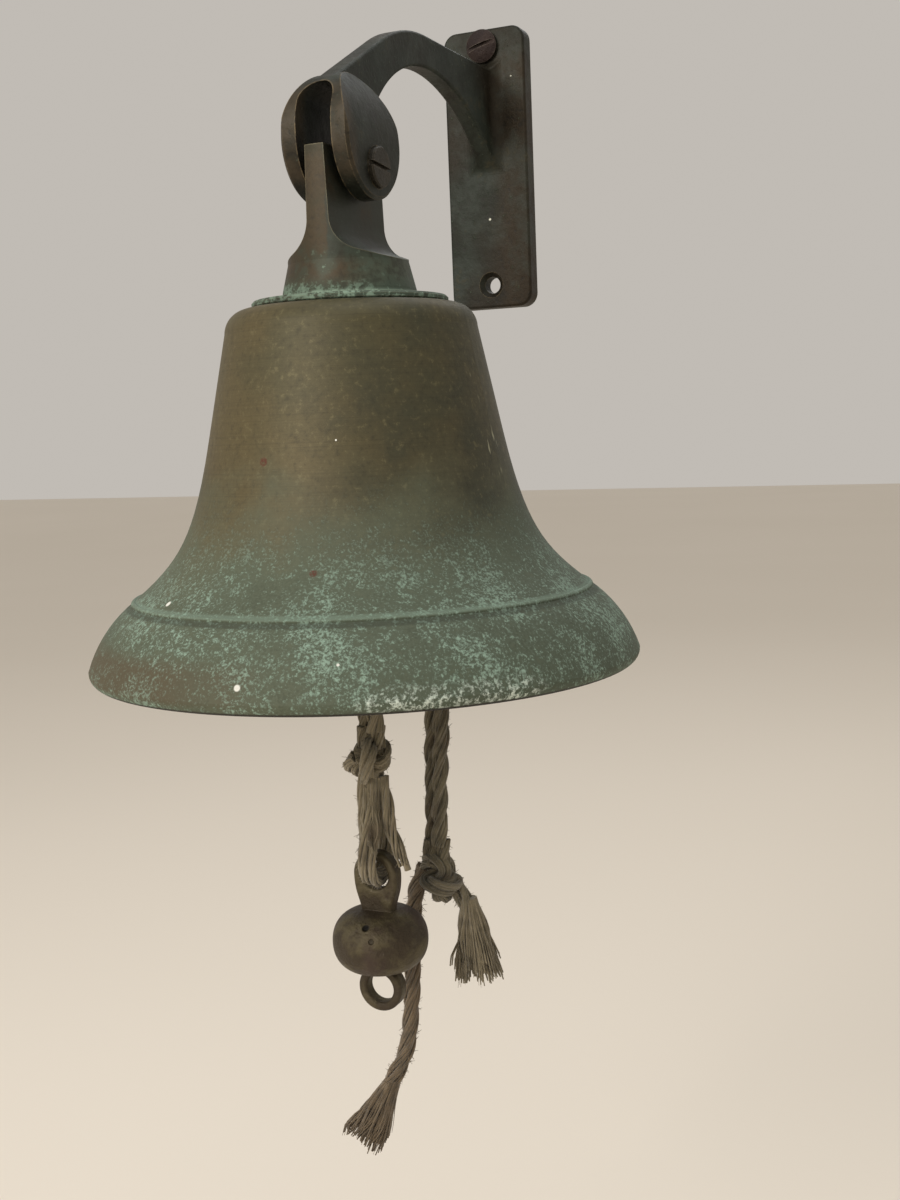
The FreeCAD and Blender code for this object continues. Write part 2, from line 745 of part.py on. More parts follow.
def clapper_line_loop():
    """The loop below the knot, round the top limb of the clapper's upper eye."""
    cord = cord_diameter / 2
    spread = clapper_eye_thickness / 2 + loop_slack + cord
    close = cord + soft_gap / 2
    foot = knot_top.z - clapper_knot_height

    def leg(side):
        route = [
            V(0, -bell_reach + side * close, foot),
            V(0, -bell_reach + side * close, foot - loop_neck),
            V(0, -bell_reach + side * spread, clapper_hinge.z + loop_open),
            V(0, -bell_reach + side * spread, clapper_hinge.z),
        ]
        tube, path, radii = sweep(route, cord)
        report_cord("clapper loop's leg", tube, path, cord, radii)
        return tube

    ring = Part.Wire(Part.makeCircle(cord, clapper_hinge - V(0, spread, 0), V(0, 0, 1)))
    bight = Part.Face(ring).revolve(clapper_hinge, V(1, 0, 0), 180)
    return fuse([leg(-1), bight, leg(1)])


def clapper_line_tail():
    """The knot's short second end."""
    route = [
        below_mouth(3.9, 0.0, clapper_knot_drop + clapper_knot_height),
        below_mouth(4.9, -0.8, 45.2),
        below_mouth(6.7, -1.2, 53.2),
        below_mouth(9.8, -1.4, 59.6),
    ]
    tail, path, radii = sweep(route, tail_diameter / 2)
    report_cord("clapper line's tail", tail, path, tail_diameter / 2, radii)
    return tail


def flat_eye(outline, hole_z, foot_z):
    """A flat eye cut from a plate across the bell, with a round hole and rounded rims above foot_z."""
    thick = clapper_eye_thickness / 2
    plate = prism(outline, V(0, clapper_eye_thickness, 0))
    eye = plate.cut(eye_hole(hole_z))
    rims = [
        edge
        for edge in eye.Edges
        if abs(abs(edge.CenterOfMass.y + bell_reach) - thick) < 1e-6
        and edge.BoundBox.YLength < 1e-6
        and edge.BoundBox.ZMax > foot_z + 0.1
    ]
    return eye.makeFillet(clapper_eye_round, rims)


def eye_hole(z):
    start = V(0, -bell_reach - clapper_ball_diameter, z)
    return cylinder(clapper_eye_hole / 2, start, start + V(0, 2 * clapper_ball_diameter, 0))


def clapper():
    """The cast clapper: a flattened ball between two flat eyes."""
    ball_z = mouth_z - clapper_ball_drop
    half = clapper_ball_height / 2
    radius = clapper_ball_diameter / 2
    rim_pole = half * clapper_rim_share
    face_pole = clapper_cap_radius + (radius - clapper_cap_radius) * clapper_face_share
    neck = clapper_neck_width / 2

    def side(r, z):
        return V(r, -bell_reach, ball_z + z)

    def half_outline(way):
        """The ball's outline above its rim for 1, below it for -1."""
        face = side(clapper_cap_radius, way * half)
        poles = [face, side(face_pole, way * half), side(radius, way * rim_pole), side(radius, 0)]
        return [line(side(0, way * half), face), curve(poles)]

    ball_outline = half_outline(1) + half_outline(-1) + [line(side(0, -half), side(0, half))]
    wide = clapper_eye_width / 2
    upper_z = mouth_z - clapper_top_drop - wide
    lower_z = mouth_z - clapper_lower_eye_drop
    stem_z = ball_z + half - clapper_stem_depth
    throat_z = stem_z + clapper_throat_height

    def xz(x, z):
        return V(x, -bell_reach - clapper_eye_thickness / 2, z)

    upper_outline = [
        arc(xz(-wide, upper_z), xz(0, upper_z + wide), xz(wide, upper_z)),
        curve([xz(wide, upper_z), xz(wide, upper_z - wide), xz(neck, throat_z), xz(neck, stem_z)]),
        line(xz(neck, stem_z), xz(-neck, stem_z)),
        curve([xz(-neck, stem_z), xz(-neck, throat_z), xz(-wide, upper_z - wide), xz(-wide, upper_z)]),
    ]
    lower_outline = [
        arc(xz(-wide, lower_z), xz(0, lower_z + wide), xz(wide, lower_z)),
        arc(xz(wide, lower_z), xz(0, lower_z - wide), xz(-wide, lower_z)),
    ]
    ball = turned(ball_outline, axis).cut(eye_hole(lower_z))
    upper_eye = flat_eye(upper_outline, upper_z, stem_z)
    lower_eye = flat_eye(lower_outline, lower_z, lower_z - 2 * wide)
    return fuse([ball, upper_eye, lower_eye])


# ---------------------------------------------------------------- lanyard

fall_route = [
    staple_point(lanyard_hitch_offset, fall_top_z),
    below_mouth(9.0, 21.9, -22.6),
    below_mouth(11.0, 21.8, 15.0),
    below_mouth(9.2, 21.8, 43.0),
    below_mouth(8.6, 21.9, 60.2),
]
lanyard_knot_top = fall_route[-1] + V(lanyard_knot_shift, lanyard_knot_shift, 0)
end_route = [
    below_mouth(3.6, 23.4, 68.0),
    below_mouth(-0.6, 24.5, 76.5),
    below_mouth(-1.9, 24.5, 88.0),
    below_mouth(-2.5, 24.0, 106.0),
    below_mouth(-3.6, 23.4, 121.0),
    below_mouth(-6.4, 22.1, 132.0),
    below_mouth(-11.4, 19.4, 140.6),
]
tail_route = [
    below_mouth(12.6, 23.2, 71.5),
    below_mouth(17.0, 24.2, 76.6),
    below_mouth(17.6, 24.5, 83.8),
]


def lanyard_fall():
    """The hand rope's two parts, laid together, from its hitch down to the knot."""
    fall, path, radii = sweep(fall_route, fall_diameter / 2)
    report_cord("lanyard fall", fall, path, fall_diameter / 2, radii)
    return round_topped(fall, fall_route[0], fall_diameter / 2)


def lanyard_knot():
    return knot(lanyard_knot_top, lanyard_knot_diameter, lanyard_knot_height, lanyard_knot_end)


def lanyard_end():
    """The single rope below the knot."""
    end, path, radii = sweep(end_route, cord_diameter / 2)
    report_cord("lanyard end", end, path, cord_diameter / 2, radii)
    return end


def lanyard_tail():
    """The knot's short second end."""
    tail, path, radii = sweep(tail_route, cord_diameter / 2)
    report_cord("lanyard tail", tail, path, cord_diameter / 2, radii)
    return tail


def tassel(route, diameter, length):
    """A frayed rope end as a plain cone that opens along the rope's last run."""
    along = (route[-1] - route[-2]).normalize()
    return cone(cord_diameter / 2, diameter / 2, route[-1], route[-1] + along * length)


PARTS = {
    "wall_bracket": wall_bracket(),
    "wall_screw": wall_screw(),
    "pivot_screw": pivot_screw(),
    "bell_shell": bell_shell(),
    "crown_hanger": crown_hanger(),
    "crown_washer": crown_washer(),
    "crown_nut": crown_nut(),
    "clapper_staple": clapper_staple(),
    "clapper_hitch": hitch(0),
    "clapper_line_fall": clapper_line_fall(),
    "clapper_line_knot": clapper_line_knot(),
    "clapper_line_loop": clapper_line_loop(),
    "clapper_line_tail": clapper_line_tail(),
    "clapper": clapper(),
    "lanyard_hitch": hitch(lanyard_hitch_offset),
    "lanyard_fall": lanyard_fall(),
    "lanyard_knot": lanyard_knot(),
    "lanyard_end": lanyard_end(),
    "lanyard_end_tassel": tassel(end_route, end_tassel_diameter, end_tassel_length),
    "lanyard_tail": lanyard_tail(),
    "lanyard_tail_tassel": tassel(tail_route, tail_tassel_diameter, tail_tassel_length),
}

os.makedirs("parts", exist_ok=True)
for name, shape in PARTS.items():
    print("%s: valid %s, solids %d, %.0f mm3" % (name, shape.isValid(), len(shape.Solids), shape.Volume))
    shape.Solids[0].exportStep("parts/%s.step" % name)
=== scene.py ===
# %% [markdown]
# # A wall-hung ship bell
# The engineering model already holds every hard piece at its real size: the bracket, the screws,
# the bell, its hanger and the clapper. This lesson loads it as a fixed frame, makes the ropes that
# the frame only holds as plain tubes, and gives every piece the finish of an old bell that has hung
# for years in sea air.

# %% Load the frame
import itertools
import math
import random

import bmesh
import bpy
from mathutils import Matrix, Vector


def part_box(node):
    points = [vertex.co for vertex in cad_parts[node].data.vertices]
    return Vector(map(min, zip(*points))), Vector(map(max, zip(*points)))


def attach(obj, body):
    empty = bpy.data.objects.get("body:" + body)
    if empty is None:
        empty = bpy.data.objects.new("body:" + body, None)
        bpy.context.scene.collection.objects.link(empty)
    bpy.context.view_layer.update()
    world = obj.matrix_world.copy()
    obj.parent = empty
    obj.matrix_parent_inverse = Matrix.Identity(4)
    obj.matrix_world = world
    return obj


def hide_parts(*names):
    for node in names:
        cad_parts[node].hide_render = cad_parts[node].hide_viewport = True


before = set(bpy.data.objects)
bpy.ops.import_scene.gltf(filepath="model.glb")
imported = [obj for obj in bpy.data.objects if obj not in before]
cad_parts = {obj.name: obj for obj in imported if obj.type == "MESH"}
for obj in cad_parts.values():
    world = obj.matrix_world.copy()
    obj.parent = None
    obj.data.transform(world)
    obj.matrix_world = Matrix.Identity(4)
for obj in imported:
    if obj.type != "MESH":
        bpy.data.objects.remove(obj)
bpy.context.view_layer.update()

MM = 0.001

# %% [markdown]
# ## Camera
# The bell is seen from its front right side and from a little above the mouth, as a person standing
# at the wall sees it. A camera's own axes are right, up and backwards, so its matrix is built
# straight from the heading, the dip and the small roll of the hand that holds it. That is easier to
# read than three Euler angles.

# %% Set the camera
heading = math.radians(24.52)
dip = math.radians(-7.07)
roll = math.radians(-2.3)
ahead = Vector((-math.sin(heading) * math.cos(dip), math.cos(heading) * math.cos(dip), math.sin(dip)))
level = Vector((math.cos(heading), math.sin(heading), 0))
above = level.cross(ahead)
right = level * math.cos(roll) + above * math.sin(roll)
up = above * math.cos(roll) - level * math.sin(roll)
camera_data = bpy.data.cameras.new("camera")
camera_data.lens = 42.7
camera = bpy.data.objects.new("camera", camera_data)
bpy.context.scene.collection.objects.link(camera)
camera_place = Vector((0.1856, -0.4564, -0.0829))
camera_turn = Matrix((right, up, -ahead)).transposed().to_4x4()
camera.matrix_world = Matrix.Translation(camera_place) @ camera_turn
bpy.context.scene.camera = camera
print("camera lens: %.1f mm, %.0f mm from the wall" % (camera_data.lens, -camera_place.y / MM))

# %% [markdown]
# ## Rope, from a line to yarns
# A rope is small twists inside larger ones: yarns are twisted into strands, and strands are laid
# into a rope. One smooth curve carries the whole rope. Each yarn is a helix round a helix, worked
# out at even steps along that curve, so the lay follows every bend. Sweeping a picture of a rope on
# a plain tube would be lighter, but its outline would stay straight where the real one is lumpy and
# hairy.

# %% Read a smooth line through given points
def smooth_line(points):
    """Points along the NURBS line that has these points, in metres, as its control points."""
    data = bpy.data.curves.new("guide", "CURVE")
    data.dimensions = "3D"
    data.resolution_u = 24
    spline = data.splines.new("NURBS")
    spline.points.add(len(points) - 1)
    for control, point in zip(spline.points, points):
        control.co = (*point, 1)
    spline.order_u = 3
    spline.use_endpoint_u = True
    guide = bpy.data.objects.new("guide", data)
    mesh = bpy.data.meshes.new_from_object(guide)
    line = [vertex.co.copy() for vertex in mesh.vertices]
    bpy.data.meshes.remove(mesh)
    bpy.data.objects.remove(guide)
    bpy.data.curves.remove(data)
    return line


def line_length(line):
    return sum((b - a).length for a, b in zip(line, line[1:]))


# %% Walk a line at even steps, with a side direction that doesn't spin
def walk(line, step):
    """(place, side, other side, distance) at even steps along a line."""
    count = max(3, round(line_length(line) / step))
    spacing = line_length(line) / count
    places = [line[0]]
    left = spacing
    for a, b in zip(line, line[1:]):
        run = (b - a).length
        done = 0.0
        while run - done >= left and len(places) < count:
            done += left
            places.append(a.lerp(b, done / run))
            left = spacing
        left -= run - done
    places.append(line[-1])
    side = Vector((1, 0.2, 0.1))
    frames = []
    for i, place in enumerate(places):
        tangent = (places[min(i + 1, count)] - places[max(i - 1, 0)]).normalized()
        side = (side - tangent * side.dot(tangent)).normalized()
        frames.append((place, side, tangent.cross(side), i * spacing))
    return frames


# %% Lay the yarns of a rope
def lay_yarns(frames, layers, dice):
    """The centre line of every yarn. Each layer is (how many, distance off centre, length of one turn)."""
    yarns = []
    for picks in itertools.product(*[range(count) for count, offset, pitch in layers]):
        yarn = []
        first = dice.uniform(0, math.tau)
        second = dice.uniform(0, math.tau)
        for place, side, other, distance in frames:
            point = place + side * math.sin(distance / (3.1 * MM) + first) * 0.16 * MM
            point += other * math.sin(distance / (4.3 * MM) + second) * 0.16 * MM
            for pick, (count, offset, pitch) in zip(picks, layers):
                angle = math.tau * (distance / pitch + pick / count)
                point += (side * math.cos(angle) + other * math.sin(angle)) * offset
            yarn.append(point)
        yarns.append(yarn)
    return yarns


# %% Loose hairs that stand off a yarn
def hairs(yarns, count, reach, dice):
    """Short fine fibres that leave the yarns at random and curl away."""
    made = []
    for _ in range(count):
        yarn = dice.choice(yarns)
        start = dice.randrange(1, len(yarn) - 1)
        along = (yarn[start + 1] - yarn[start - 1]).normalized()
        away = Vector([dice.gauss(0, 1) for _ in range(3)])
        away = (away - along * away.dot(along)).normalized()
        length = reach * dice.uniform(0.35, 1.0)
        curl = Vector([dice.gauss(0, 0.35) for _ in range(3)])
        bend = (along * dice.choice((-1, 1)) * 0.8 + away * 0.7).normalized()
        root = yarn[start]
        middle = root + bend * length * 0.55
        tip = middle + (bend + away * 0.6 + curl).normalized() * length * 0.5
        made.append([root, middle, tip])
    return made


# %% Make one mesh from many round threads
def threads(name, groups, sides=1):
    """One mesh piece from groups of (lines, radius at the root, radius at the tip)."""
    data = bpy.data.curves.new(name, "CURVE")
    data.dimensions = "3D"
    data.bevel_depth = 1.0
    data.bevel_resolution = sides
    data.use_fill_caps = True
    for lines, root_radius, tip_radius in groups:
        for line in lines:
            spline = data.splines.new("POLY")
            spline.points.add(len(line) - 1)
            for i, (control, point) in enumerate(zip(spline.points, line)):
                control.co = (*point, 1)
                control.radius = root_radius + (tip_radius - root_radius) * i / (len(line) - 1)
    holder = bpy.data.objects.new(name + "_curve", data)
    mesh = bpy.data.meshes.new_from_object(holder)
    mesh.name = name
    bpy.data.objects.remove(holder)
    bpy.data.curves.remove(data)
    piece = bpy.data.objects.new(name, mesh)
    bpy.context.scene.collection.objects.link(piece)
    print(name, len(mesh.polygons), "faces")
    return piece


# %% A whole rope in one call
def rope(name, line, layers, yarn_radius, hair_count, seed, step=1.0 * MM):
    """A laid rope along a line, with loose hairs."""
    dice = random.Random(seed)
    yarns = lay_yarns(walk(line, step), layers, dice)
    loose = hairs(yarns, round(hair_count * 1.5), 2.7 * MM, dice)
    return threads(name, [(yarns, yarn_radius, yarn_radius), (loose, 0.1 * MM, 0.045 * MM)])


# %% [markdown]
# ## The two hanging ropes
# Both ropes hang from the stirrup inside the bell. Each fall is a cord that was doubled over the
# bar, its two parts laid side by side, and a knot closes it below. A fall carries weight, so it is
# nearly straight; the single rope under the hand rope's knot carries nothing and keeps the bend it
# dried in.

# %% Where the ropes start and turn, in millimetres from the bell's axis and its mouth
axis_y = -107.0
mouth_z = -146.5
crown_bar_z = -76.7
fall_top_z = -88.9
print("from the bar down to the mouth: %.1f mm" % (crown_bar_z - mouth_z))


def below(x, back, drop):
    """A point right of the bell's axis by x, behind it by back, and below its mouth by drop."""
    return Vector((x, axis_y + back, mouth_z - drop)) * MM


FALL_LAYERS = [(2, 1.85 * MM, 900 * MM), (3, 1.25 * MM, 26 * MM), (6, 0.78 * MM, 34 * MM)]
CORD_LAYERS = [(4, 1.4 * MM, 34 * MM), (5, 0.74 * MM, 36 * MM)]
bar_side = Vector((math.sin(math.radians(18)), math.cos(math.radians(18)), 0))
lanyard_along = 22.6 * MM
lanyard_top = Vector((0, axis_y, fall_top_z)) * MM + bar_side * lanyard_along

# %% The clapper line's fall
clapper_fall_points = [
    Vector((0, axis_y, fall_top_z)) * MM,
    below(0.05, 0.0, -18.0),
    below(0, 0, 21.7),
]
clapper_fall_line = smooth_line(clapper_fall_points)
clapper_fall = rope("clapper_line_fall_rope", clapper_fall_line, FALL_LAYERS, 0.5 * MM, 420, 3)
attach(clapper_fall, "clapper_line")
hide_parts("clapper_line_fall")
print("clapper fall: %.1f mm" % (line_length(clapper_fall_line) / MM))

# %% The hand rope's fall
lanyard_fall_points = [
    lanyard_top,
    below(9.0, 21.9, -22.6),
    below(11.0, 21.8, 15.0),
    below(9.2, 21.8, 43.0),
    below(8.6, 21.9, 60.2),
]
lanyard_fall_line = smooth_line(lanyard_fall_points)
lanyard_fall = rope("lanyard_fall_rope", lanyard_fall_line, FALL_LAYERS, 0.5 * MM, 1100, 5)
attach(lanyard_fall, "lanyard")
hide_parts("lanyard_fall")
print("lanyard fall: %.1f mm" % (line_length(lanyard_fall_line) / MM))

# %% The single rope below the hand rope's knot
lanyard_end_points = [
    below(3.6, 23.4, 68.0),
    below(-0.6, 24.5, 76.5),
    below(-1.9, 24.5, 88.0),
    below(-2.5, 24.0, 106.0),
    below(-3.6, 23.4, 121.0),
    below(-6.4, 22.1, 132.0),
    below(-11.4, 19.4, 140.6),
]
lanyard_end_line = smooth_line(lanyard_end_points)
lanyard_end = rope("lanyard_end_rope", lanyard_end_line, CORD_LAYERS, 0.5 * MM, 800, 7)
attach(lanyard_end, "lanyard")
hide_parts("lanyard_end")
print("lanyard end: %.1f mm" % (line_length(lanyard_end_line) / MM))

# %% The hand rope's short second end, which has begun to open
TAIL_LAYERS = [(3, 1.5 * MM, 40 * MM), (7, 0.8 * MM, 40 * MM)]
lanyard_tail_line = smooth_line([
    below(12.6, 23.2, 71.5),
    below(17.0, 24.2, 76.6),
    below(17.6, 24.5, 83.8),
])
lanyard_tail = rope("lanyard_tail_rope", lanyard_tail_line, TAIL_LAYERS, 0.44 * MM, 260, 9)
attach(lanyard_tail, "lanyard")
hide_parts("lanyard_tail")
print("lanyard tail: %.1f mm" % (line_length(lanyard_tail_line) / MM))

# %% [markdown]
# ## Knots
# Both knots are overhand knots pulled tight, which show as a lump with two or three slanting wraps.
# An overhand knot is a trefoil: its line goes twice round a ring and three times through it. A rope
# of its own is laid along that line, with the fall running through the middle. A plain ball with a
# bump pattern would be quicker, but its outline would be smooth, and the wraps are what tells the
# eye it is a knot.

# %% Tie a rope
KNOT_LAYERS = [(3, 1.25 * MM, 30 * MM), (6, 0.72 * MM, 34 * MM)]


def tied(name, top, height, width, pole, turn, seed):
    """An overhand knot that hangs below top. Its loop turns round the direction pole."""
    thick = 2.35 * MM
    ring = (width / 2 - thick) * 0.62
    rise = (width / 2 - thick) * 0.38
    pole = Vector(pole).normalized()
    side = pole.cross(Vector((0.1, 1, 0.2))).normalized()
    other = pole.cross(side)
    points = []
    for i in range(61):
        angle = math.tau * i / 60 + turn
        reach = ring + rise * math.cos(3 * angle)
        flat = side * math.cos(2 * angle) + other * math.sin(2 * angle)
        point = flat * reach + pole * (rise * 1.5 * math.sin(3 * angle))
        point.z *= (height / 2 - thick) / (width / 2 - thick)
        points.append(top + point - Vector((0, 0, height / 2)))
    line = smooth_line(points)
    return rope(name, line, KNOT_LAYERS, 0.5 * MM, 520, seed, 0.8 * MM)


# %% Run the fall on through its knot
def knot_core(name, top, depth, seed):
    """The rope inside a knot, from the fall's end down to where the wraps hide it."""
    down = Vector((0, 0, -1))
    line = smooth_line([top - down * 1.5 * MM, top + down * depth / 2, top + down * depth])
    return rope(name, line, FALL_LAYERS, 0.5 * MM, 40, seed)


# %% Tie the clapper line's knot
clapper_knot_top = below(-0.9, -0.6, 21.7)
clapper_knot = tied(
    "clapper_line_knot_wraps", clapper_knot_top, 16.6 * MM, 15.0 * MM, (-0.55, -0.25, 0.8), 0.6, 11
)
clapper_core = knot_core("clapper_line_knot_core", below(0, 0, 21.7), 5.0 * MM, 43)
for piece in (clapper_knot, clapper_core):
    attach(piece, "clapper_line")
    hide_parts("clapper_line_knot")

# %% Tie the hand rope's knot
lanyard_knot_top = below(9.1, 22.4, 61.7)
lanyard_knot = tied(
    "lanyard_knot_wraps", lanyard_knot_top, 18.0 * MM, 15.6 * MM, (0.7, 0.3, 0.65), 1.3, 13
)
lanyard_core = knot_core("lanyard_knot_core", below(8.6, 21.9, 60.2), 6.0 * MM, 47)
for piece in (lanyard_knot, lanyard_core):
    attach(piece, "lanyard")
    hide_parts("lanyard_knot")

# %% [markdown]
# ## The loop that holds the clapper
# Below the clapper line's knot the cord opens into a loop that passes under the top of the
# clapper's upper eye. Old cord flattens where it bears on iron, so its strands lie almost straight
# there. The route is one closed-up U of listed points: down the front leg, round under the
# eye's top, and up the back leg.

# %% The loop
hinge_drop = 57.8
leg_spread = 6.0
loop_line = smooth_line([
    below(-0.9, -2.3, 33.0),
    below(-0.6, -2.6, 38.5),
    below(-0.2, -4.2, 47.0),
    below(0, -leg_spread, 54.0),
    below(0, -leg_spread - 0.4, hinge_drop + 1.2),
    below(0, -leg_spread * 0.72, hinge_drop + 5.8),
    below(0, 0, hinge_drop + 7.0),
    below(0, leg_spread * 0.72, hinge_drop + 5.8),
    below(0, leg_spread + 0.4, hinge_drop + 1.2),
    below(0, leg_spread, 54.0),
    below(-0.2, 4.2, 47.0),
    below(-0.4, 2.6, 38.5),
    below(-0.4, 2.3, 33.0),
])
LOOP_LAYERS = [(3, 1.45 * MM, 70 * MM), (6, 0.85 * MM, 45 * MM)]
loop = rope("clapper_line_loop_rope", loop_line, LOOP_LAYERS, 0.5 * MM, 700, 17)
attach(loop, "clapper_line")
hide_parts("clapper_line_loop")
print("loop: %.1f mm round" % (line_length(loop_line) / MM))

# %% The clapper line's second end, with its hard frayed tip
tail_line = smooth_line([
    below(3.0, -0.3, 34.5),
    below(4.6, -0.9, 45.2),
    below(6.4, -1.3, 53.2),
    below(9.6, -1.4, 59.4),
])
tail_dice = random.Random(19)
thin_layers = [(3, 1.0 * MM, 34 * MM), (4, 0.6 * MM, 30 * MM)]
tail_yarns = lay_yarns(walk(tail_line, 0.9 * MM), thin_layers, tail_dice)
tail_hairs = hairs(tail_yarns, 220, 2.2 * MM, tail_dice)
tip = tail_line[-1]
tip_knob = [[tip + Vector((0.2, 0, 0.7)) * MM, tip + Vector((0.9, 0, -1.6)) * MM]]
tail = threads(
    "clapper_line_tail_rope",
    [
        (tail_yarns, 0.6 * MM, 0.34 * MM),
        (tail_hairs, 0.075 * MM, 0.03 * MM),
        (tip_knob, 0.9 * MM, 1.0 * MM),
    ],
)
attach(tail, "clapper_line")
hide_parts("clapper_line_tail")

# %% [markdown]
# ## Frayed ends
# Where a rope end has no whipping, its strands open, then its yarns, then the fibres. A brush of
# separate threads that start inside the rope and spread as they fall shows all three. Each thread
# wanders a little, and most stop short of the longest.

# %% Open a rope end into a brush
def brush(name, start, direction, length, neck, width, count, seed):
    """A frayed rope end: locks of threads that start inside the rope and spread from neck to width."""
    dice = random.Random(seed)
    direction = direction.normalized()
    side = direction.cross(Vector((0, 1, 0.3))).normalized()
    other = direction.cross(side)
    locks = []
    fine = []
    for i in range(count):
        if i % 7 == 0:
            lock = dice.uniform(0, math.tau)
            lock_share = math.sqrt(dice.random())
            lock_reach = length * dice.uniform(0.74, 1.0)
            lock_sway = Vector([dice.gauss(0, 0.9) for _ in range(3)]) * MM
        angle = lock + dice.gauss(0, 0.22)
        share = min(1.0, lock_share + dice.gauss(0, 0.12))
        out = side * math.cos(angle) + other * math.sin(angle)
        reach = min(length, lock_reach * dice.uniform(0.88, 1.03))
        sway = lock_sway + Vector([dice.gauss(0, 0.12) for _ in range(3)]) * MM
        line = []
        for step in range(8):
            part = step / 7
            spread = neck / 2 + (width - neck) / 2 * part ** 1.1
            wave = sway * math.sin(part * 6 + lock) * part
            line.append(start + direction * (reach * part) + out * (share * spread) + wave)
        (fine if i % 3 == 0 else locks).append(line)
    return threads(name, [(locks, 0.42 * MM, 0.2 * MM), (fine, 0.2 * MM, 0.06 * MM)], 0)


# %% Fray both ends of the hand rope
tail_tassel = brush(
    "lanyard_tail_brush", lanyard_tail_line[-1] + Vector((-0.3, 0, 7)) * MM, Vector((0.08, 0.04, -1)),
    26.0 * MM, 4.0 * MM, 14.0 * MM, 600, 23,
)
end_tassel = brush(
    "lanyard_end_brush", lanyard_end_line[-1] + Vector((2.6, 1.5, 4.4)) * MM, Vector((-6.6, -3.6, -15)),
    23.0 * MM, 4.0 * MM, 12.8 * MM, 520, 29,
)
loop_fray = brush(
    "clapper_loop_fray", below(0.2, -1.4, 33.0), Vector((0.5, -4.4, -26)),
    26.0 * MM, 4.6 * MM, 3.4 * MM, 320, 41,
)
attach(loop_fray, "clapper_line")
for piece, node in ((tail_tassel, "lanyard_tail_tassel"), (end_tassel, "lanyard_end_tassel")):
    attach(piece, "lanyard")
    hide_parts(node)

# %% [markdown]
# ## Hitches
# Inside the bell each cord takes one turn over the stirrup's bar. Nobody sees it from the side, but
# it shows from below, so it is laid like the rest: a ring of rope round the bar.

# %% Turn each cord over the bar
def hitch(name, along, body, node, seed):
    """One turn of cord round the bar, at a distance along it from the bell's axis."""
    centre = Vector((0, axis_y, crown_bar_z)) * MM + bar_side * along
    across = Vector((bar_side.y, -bar_side.x, 0))
    ring = [
        centre + (across * math.sin(angle) + Vector((0, 0, -math.cos(angle)))) * 5.65 * MM
        for angle in [math.tau * i / 48 for i in range(49)]
    ]
    piece = rope(name, ring, CORD_LAYERS, 0.5 * MM, 40, seed)
    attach(piece, body)
    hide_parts(node)
    return piece


clapper_hitch = hitch("clapper_hitch_rope", 0.0, "clapper_hitch", "clapper_hitch", 31)
lanyard_hitch = hitch("lanyard_hitch_rope", lanyard_along, "lanyard_hitch", "lanyard_hitch", 37)

line_length(clapper_fall_line)
line_length(lanyard_fall_line)
line_length(lanyard_end_line)

# %% [markdown]
# ## A small language for finishes
# A finish is a graph of nodes, and long graphs are hard to read as links. One class wraps a socket
# and gives it the usual arithmetic, so a mask reads as a sum. One method adds any other node.
# Colours go through Mix nodes, because plain maths would turn them grey.

# %% A socket that can be added and multiplied
class Wire:
    """An output socket of a finish's graph, for use in an expression."""

    def __init__(self, finish, socket):
        self.finish = finish
        self.socket = socket

    def __add__(self, other):
        return self.finish.math("ADD", self, other)

    def __sub__(self, other):
        return self.finish.math("SUBTRACT", self, other)

    def __rsub__(self, other):
        return self.finish.math("SUBTRACT", other, self)

    def __mul__(self, other):
        return self.finish.math("MULTIPLY", self, other)

    __radd__ = __add__
    __rmul__ = __mul__


